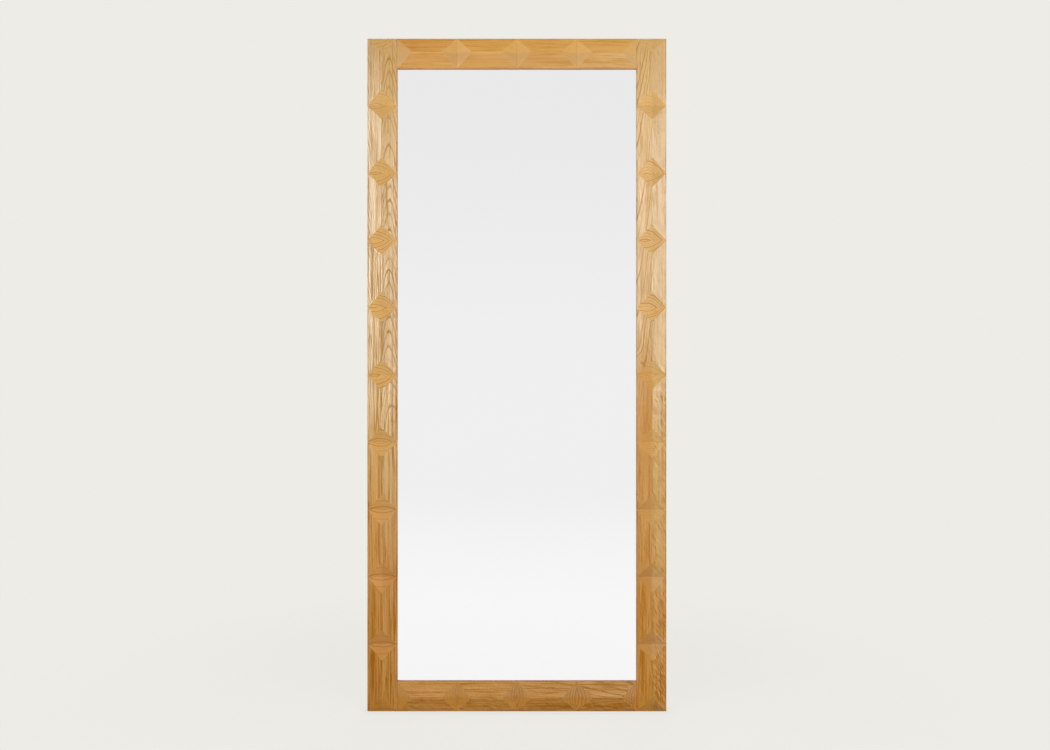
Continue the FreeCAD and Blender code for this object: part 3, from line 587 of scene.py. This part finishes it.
# Waves per metre
EVEN = Vector((1, 1, 1))
ALONG_X = Vector((60, 400, 400))
FELTED = Vector((900, 900, 500))
fibreboard = speckled("fibreboard", srgb(152, 119, 86), srgb(174, 141, 104), FELTED, (0.7, 0.85), 0.0001)
beech = speckled("beech", srgb(196, 154, 112), srgb(214, 176, 134), ALONG_X, (0.5, 0.6), 0.0001)
tape = speckled("glazing_tape", srgb(58, 58, 58), srgb(76, 76, 76), 800 * EVEN, (0.7, 0.9), 0.0001)
block = speckled("setting_block", srgb(40, 40, 42), srgb(54, 54, 56), 500 * EVEN, (0.5, 0.7), 0.0001)
rubber = speckled("bumper_rubber", srgb(36, 35, 34), srgb(52, 50, 48), 700 * EVEN, (0.6, 0.8), 0.0001)
zinc = speckled("zinc_steel", grey(0.58), grey(0.70), 260 * EVEN, (0.4, 0.55), 0.00004, Metallic=1.0)
DARK_STEEL = (0.55, 0.52, 0.46, 1.0)
PALE_STEEL = (0.66, 0.62, 0.55, 1.0)
steel = speckled("screw_steel", DARK_STEEL, PALE_STEEL, 400 * EVEN, (0.22, 0.4), 0.00003, Metallic=1.0)

PLAIN = {
    "back_panel": fibreboard,
    "dowels": beech,
    "glazing_tape": tape,
    "setting_blocks": block,
    "spacers": block,
    "wall_bumper": rubber,
    "hanger_strap": zinc,
    "hanger_ring": zinc,
}
for node in nodes:
    for start, material in PLAIN.items():
        if node.startswith(start):
            dress(node, material)


# Screws with a cross recess, in the places of the plain CAD screws. Their axes lie along Y, heads behind.

SCREW_SIDES = 32
SHARP_DEGREES = 35
RECESS_TAPER = 0.5
TIP_RADIUS = 0.0003
EASE = 0.0001  # of the rim of a head

# Flat heads
FLAT_HEAD_RADIUS = 0.0035
FLAT_SHANK_RADIUS = 0.00175
FLAT_TIP = 0.0035
FLAT_CONE = 0.0018
FLAT_RIM = 0.0002
FLAT_FACE_RADIUS = 0.0026
FLAT_DISH = 0.00005
FLAT_RECESS = (0.0019, 0.00042, 0.0013)  # reach, half the width and depth of the cross

# Raised heads
PAN_HEAD_RADIUS = 0.00375
PAN_SHANK_RADIUS = 0.002
PAN_TIP = 0.004
PAN_RISE = 0.0026
PAN_WALL = 0.0011
PAN_DOME = 0.0013
PAN_ROUNDING = 0.0015
PAN_STEPS = 6
PAN_FACE_RADIUS = 0.0021
PAN_RECESS = (0.0020, 0.00045, 0.0016)


def screw_places(node):
    """Front and back ends of the axes of a node's screws."""
    mesh = bmesh.new()
    mesh.from_mesh(nodes[node].data)
    bmesh.ops.remove_doubles(mesh, verts=mesh.verts, dist=1e-6)
    left = set(mesh.verts)
    places = []
    while left:
        found = [left.pop()]
        for vert in found:
            for edge in vert.link_edges:
                other = edge.other_vert(vert)
                if other in left:
                    left.remove(other)
                    found.append(other)
        corners = [[pick(vert.co[axis] for vert in found) for axis in range(3)] for pick in (min, max)]
        (x0, front, z0), (x1, back, z1) = corners
        places.append((Vector(((x0 + x1) / 2, front, (z0 + z1) / 2)), back))
    mesh.free()
    return sorted(places, key=lambda place: tuple(place[0]))


def circle(radius):
    angles = [2 * math.pi * step / SCREW_SIDES for step in range(SCREW_SIDES)]
    return [(radius * math.cos(angle), radius * math.sin(angle)) for angle in angles]


def cross(reach, half):
    """Outline of a cross with as many points as a circle."""
    step = (reach - half) / 3
    corner = [(reach, 0), (reach, half), (reach - step, half), (half + step, half), (half, half)]
    corner += [(half, half + step), (half, reach - step), (half, reach)]
    points = []
    for _ in range(4):
        points += corner
        corner = [(-z, x) for x, z in corner]
    return points


def add_screw(mesh, outlines, centre, turn):
    """Skin a stack of outlines (points, distance along Y), closed at both ends."""
    spin = Matrix.Rotation(turn, 3, "Y")
    loops = []
    for points, y in outlines:
        loops.append([mesh.verts.new(centre + spin @ Vector((x, y, z))) for x, z in points])
    for first, second in zip(loops, loops[1:]):
        for index in range(SCREW_SIDES):
            after = (index + 1) % SCREW_SIDES
            mesh.faces.new((first[index], first[after], second[after], second[index]))
    mesh.faces.new(list(reversed(loops[0])))
    mesh.faces.new(loops[-1])


def screw_outlines(profile, recess_reach, recess_half, recess_depth):
    """Circles of a turned profile (radius, distance from the tip), then the cross sunk into its head."""
    outlines = [(circle(radius), y) for radius, y in profile]
    top = profile[-1][1]
    outlines.append((cross(recess_reach, recess_half), top))
    narrow = RECESS_TAPER
    outlines.append((cross(recess_reach * narrow, recess_half * narrow), top - recess_depth))
    return outlines


def countersunk(length):
    """Outlines of a screw whose flat head sits level with the panel."""
    profile = [
        (TIP_RADIUS, 0.0),
        (FLAT_SHANK_RADIUS, FLAT_TIP),
        (FLAT_SHANK_RADIUS, length - FLAT_CONE),
        (FLAT_HEAD_RADIUS - EASE, length - FLAT_RIM),
        (FLAT_HEAD_RADIUS - 2 * EASE, length),
        (FLAT_FACE_RADIUS, length - FLAT_DISH),
    ]
    return screw_outlines(profile, *FLAT_RECESS)


def pan_head(length):
    """Outlines of a screw with a raised, rounded head."""
    seat = length - PAN_RISE
    profile = [
        (TIP_RADIUS, 0.0),
        (PAN_SHANK_RADIUS, PAN_TIP),
        (PAN_SHANK_RADIUS, seat),
        (PAN_HEAD_RADIUS - EASE, seat),
        (PAN_HEAD_RADIUS, seat + EASE),
    ]
    for step in range(PAN_STEPS):
        angle = step / PAN_STEPS * math.pi / 2
        radius = PAN_HEAD_RADIUS - PAN_ROUNDING * (1 - math.cos(angle))
        profile.append((radius, seat + PAN_WALL + PAN_DOME * math.sin(angle)))
    profile.append((PAN_FACE_RADIUS, length - EASE))
    return screw_outlines(profile, *PAN_RECESS)


def make_screws(node, outline):
    """Put detailed screws, turned at random, in the place of a CAD node."""
    mesh = bmesh.new()
    for front, back in screw_places(node):
        add_screw(mesh, outline(back - front.y), front, turns.uniform(0, math.pi / 2))
    bmesh.ops.recalc_face_normals(mesh, faces=mesh.faces)
    data = bpy.data.meshes.new(f"{node}_detailed")
    mesh.to_mesh(data)
    mesh.free()
    data.shade_smooth()
    data.set_sharp_from_angle(angle=math.radians(SHARP_DEGREES))
    data.materials.append(steel)
    piece = bpy.data.objects.new(f"{node}_detailed", data)
    scene.collection.objects.link(piece)
    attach(piece, "frame")
    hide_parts(node)


turns = random.Random(7)
for node in ("panel_side_screws", "panel_end_screws"):
    make_screws(node, countersunk)
for node in ("hanger_screws_left", "hanger_screws_right", "bumper_screws"):
    make_screws(node, pan_head)


# Stage: a pale floor and backdrop of one colour. Sharp and dull reflections see the studio, which is
# bright in front of the mirror and dimmer at its sides.

BACKDROP = srgb(237, 236, 231)
STUDIO_HIGH = srgb(238, 238, 238)
STUDIO_LEVEL = srgb(244, 244, 244)
STUDIO_NEAR = srgb(252, 252, 252)
STUDIO_SIDES = grey(0.35)
# Painted shade: reflections see the floor close to the mirror darker than the camera does
PAINTED_FOOT_SHADE = grey(0.62)  # the floor close to the mirror
STUDIO_CEILING = grey(0.5)
AMBIENT = grey(0.2)
AMBIENT_BEHIND = grey(0.75)
FLOOR_MATT_NEAR = grey(0.6)
FLOOR_MATT_FAR = grey(0.34)

# Shares of a direction, sideways, upwards or backwards, between which the studio changes
SIDES = (0.36, 0.62)
HIGH = (0.0, 0.3)
CEILING = (0.34, 0.5)
BEHIND = (0.2, 0.6)

SHADOW_SHARE = 0.12  # of the floor's brightness that comes from the lamps
FLOOR_LIGHT = 0.97  # the lamps' light on the floor round the mirror
NEAR_FLOOR = (0.3, 5.0)  # distances in front of the mirror between which its image of the floor dims
FOOT = (0.18, 0.04)  # distances between which the floor close to the mirror begins
SHADOW_ROUND = (0.6, 1.6)  # distances from the mirror's foot between which the shadow ends
MATT_ROUND = (0.5, 1.6)  # and between which the floor throws less light on the mirror
FLOOR_ASIDE = 0.3  # how much further sideways the floor stays bright at the mirror's foot
# Reach and darkness of the painted contact shadow on the floor
CONTACT_REACH = 0.03
CONTACT_SHADE = grey(0.90)


def rays(graph):
    """Which kind of ray looks: 1 for the camera's, and 1 for reflections and glass."""
    path = graph.node("LightPath").outputs
    mirrored = graph.math("MAXIMUM", path["Is Glossy Ray"], path["Is Transmission Ray"])
    return path["Is Camera Ray"], mirrored


def light_world():
    """Light from all round, which the camera sees as a plain backdrop and reflections as a studio."""
    world = bpy.data.worlds.new("backdrop")
    scene.world = world
    world.use_nodes = True
    graph = Graph(world.node_tree)
    camera_ray, mirrored = rays(graph)
    direction = graph.node("TexCoord").outputs["Generated"]
    x, y, z = graph.node("SeparateXYZ", {0: direction}).outputs
    reflected = graph.blend(graph.ramp(z, *HIGH), STUDIO_LEVEL, STUDIO_HIGH)
    reflected = graph.blend(graph.ramp(graph.math("ABSOLUTE", x), *SIDES), reflected, STUDIO_SIDES)
    reflected = graph.blend(graph.ramp(z, *CEILING), reflected, STUDIO_CEILING)
    ambient = graph.blend(graph.ramp(y, *BEHIND), AMBIENT, AMBIENT_BEHIND)
    colour = graph.blend(mirrored, ambient, reflected)
    colour = graph.blend(camera_ray, colour, BACKDROP)
    graph.feed(world.node_tree.nodes["Background"].inputs["Color"], colour)


def floor_material(radius):
    """A floor that glows in the backdrop's colour, so that only a share of it takes the shadow."""
    material = bpy.data.materials.new("floor")
    material.use_nodes = True
    graph = Graph(material.node_tree)
    material.node_tree.nodes.remove(material.node_tree.nodes["Principled BSDF"])
    camera_ray, mirrored = rays(graph)
    place = graph.node("TexCoord").outputs["Object"]
    x, y, _ = graph.node("SeparateXYZ", {0: place}).outputs
    away = graph.math("ABSOLUTE", y)
    reflected = graph.blend(graph.ramp(away, *NEAR_FLOOR), STUDIO_NEAR, STUDIO_LEVEL)
    distance = graph.vector("LENGTH", place)
    allowed = graph.ramp(distance, 0.0, radius, FLOOR_ASIDE, 0.0)
    aside = graph.math("DIVIDE", graph.math("SUBTRACT", graph.math("ABSOLUTE", x), allowed), distance)
    reflected = graph.blend(graph.ramp(aside, *SIDES), reflected, STUDIO_SIDES)
    # Painted shade at the mirror's foot, seen only in reflections
    reflected = graph.blend(graph.ramp(away, *FOOT), reflected, PAINTED_FOOT_SHADE)
    shown = graph.blend(camera_ray, reflected, BACKDROP)
    # Painted contact shadow: an occlusion node darkens the floor's glow close to the mirror
    contact = graph.node("AmbientOcclusion", {"Distance": CONTACT_REACH}, samples=8).outputs["AO"]
    shown = graph.blend(1.0, shown, graph.blend(contact, CONTACT_SHADE, grey(1.0)), "MULTIPLY")

    seen = graph.math("MAXIMUM", camera_ray, mirrored)
    matt = graph.blend(graph.ramp(distance, *MATT_ROUND), FLOOR_MATT_NEAR, FLOOR_MATT_FAR)
    share = graph.ramp(distance, *SHADOW_ROUND, SHADOW_SHARE, 0.0)
    glow = graph.math("MULTIPLY", seen, graph.math("SUBTRACT", 1.0, share))
    lit = graph.scale(shown, graph.math("DIVIDE", share, FLOOR_LIGHT))
    shaders = (
        graph.node("Emission", {"Color": shown, "Strength": glow}),
        graph.node("BsdfDiffuse", {"Color": graph.blend(seen, matt, lit)}),
    )
    both = graph.node("AddShader", {index: made.outputs[0] for index, made in enumerate(shaders)})
    graph.feed(material.node_tree.nodes["Material Output"].inputs["Surface"], both.outputs[0])
    return material


def lay_floor(radius):
    mesh = bpy.data.meshes.new("floor")
    disc = bmesh.new()
    bmesh.ops.create_circle(disc, cap_ends=True, segments=96, radius=radius)
    disc.to_mesh(mesh)
    disc.free()
    mesh.materials.append(floor_material(radius))
    floor = bpy.data.objects.new("floor", mesh)
    scene.collection.objects.link(floor)


SOFT_EDGES = (0.3, 0.12)  # shares of a softbox's width and height over which its light fades


def softbox(name, place, target, width, height, radiance):
    """An area light that faces a point and has the same brightness whatever its size."""
    lamp = bpy.data.lights.new(name, "AREA")
    lamp.shape = "RECTANGLE"
    lamp.size = width
    lamp.size_y = height
    lamp.energy = radiance * math.pi * width * height
    lamp.use_nodes = True
    graph = Graph(lamp.node_tree)
    spread = graph.node("NewGeometry").outputs["Parametric"]
    strength = 1.0
    for share, soft in zip(graph.node("SeparateXYZ", {0: spread}).outputs, SOFT_EDGES):
        inside = graph.math("PINGPONG", share, 0.5)
        strength = graph.math("MULTIPLY", strength, graph.ramp(inside, 0.0, soft))
    graph.feed(lamp.node_tree.nodes["Emission"].inputs["Strength"], strength)
    light = bpy.data.objects.new(name, lamp)
    light.location = place
    light.rotation_euler = (Vector(target) - Vector(place)).to_track_quat("-Z", "Y").to_euler()
    light.visible_camera = False
    scene.collection.objects.link(light)


STRIP_DISTANCE = 3.26
STRIP_WIDTH = 0.57
# Sideways angle in degrees, height of the middle, length and brightness
STRIPS = {
    "strip_left_outer": (-51.6, 1.62, 2.05, 17.2),
    "strip_left_inner": (-31.0, 1.75, 1.70, 12.8),
    "strip_right_inner": (31.0, 1.50, 2.05, 15.0),
    "strip_right_outer": (51.6, 1.57, 1.87, 14.2),
}

FLOOR_RADIUS = 9.0
AIM = (0, 0, 0.7)

light_world()
lay_floor(FLOOR_RADIUS)
for name, (degrees, height, length, radiance) in STRIPS.items():
    angle = math.radians(degrees)
    place = (STRIP_DISTANCE * math.sin(angle), -STRIP_DISTANCE * math.cos(angle), height)
    softbox(name, place, AIM, STRIP_WIDTH, length, radiance)
softbox("softbox_back", place=(0.6, 3.2, 2.4), target=(0, 0, 0.9), width=2.8, height=1.9, radiance=3.2)

# Camera: level, a little to the right of the mirror's middle

CAMERA_DISTANCE = 2.5
CAMERA_ASIDE = 0.0217
RIDGE_RISE = 0.015
FRONT_EDGE_Y = cad_box[0][1] + RIDGE_RISE
PIXELS_WIDE = 1050
PIXELS_PER_METRE = 373.6
camera = bpy.data.objects.new("camera", bpy.data.cameras.new("camera"))
camera.data.sensor_width = 36
camera.data.lens = CAMERA_DISTANCE * PIXELS_PER_METRE / PIXELS_WIDE * camera.data.sensor_width
camera.location = (CAMERA_ASIDE, FRONT_EDGE_Y - CAMERA_DISTANCE, frame_middle.z)
camera.rotation_euler = (math.pi / 2, 0, 0)
scene.collection.objects.link(camera)
scene.camera = camera
